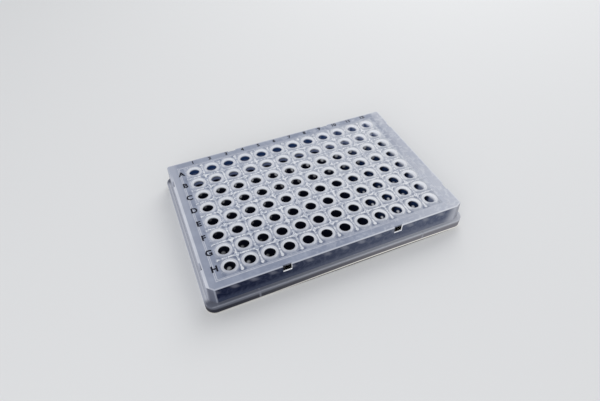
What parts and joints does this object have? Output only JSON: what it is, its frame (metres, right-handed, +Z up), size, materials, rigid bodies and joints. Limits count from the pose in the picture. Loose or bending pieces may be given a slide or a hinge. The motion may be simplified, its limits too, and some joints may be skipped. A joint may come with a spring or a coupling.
{
  "type": "well plate",
  "caption": "Skirted microwell plate of frosted translucent polypropylene: tapered wells with raised rims on a 9 mm grid, stepped skirt, cut front corners.",
  "frame": {"origin": "middle of the base rim, on the surface that the plate stands on", "axes": "+X along the rows of wells from column 1 to column 12, +Y across to row A at the back, +Z up out of the wells"},
  "size_m": [0.1278, 0.0854, 0.0145],
  "materials": {
    "polypropylene": "frosted translucent, natural uncoloured moulding with a satin sheen",
    "print_ink": "thin matt black ink film"
  },
  "bodies": {
    "root": {"plate": "polypropylene"}
  },
  "joints": []
}
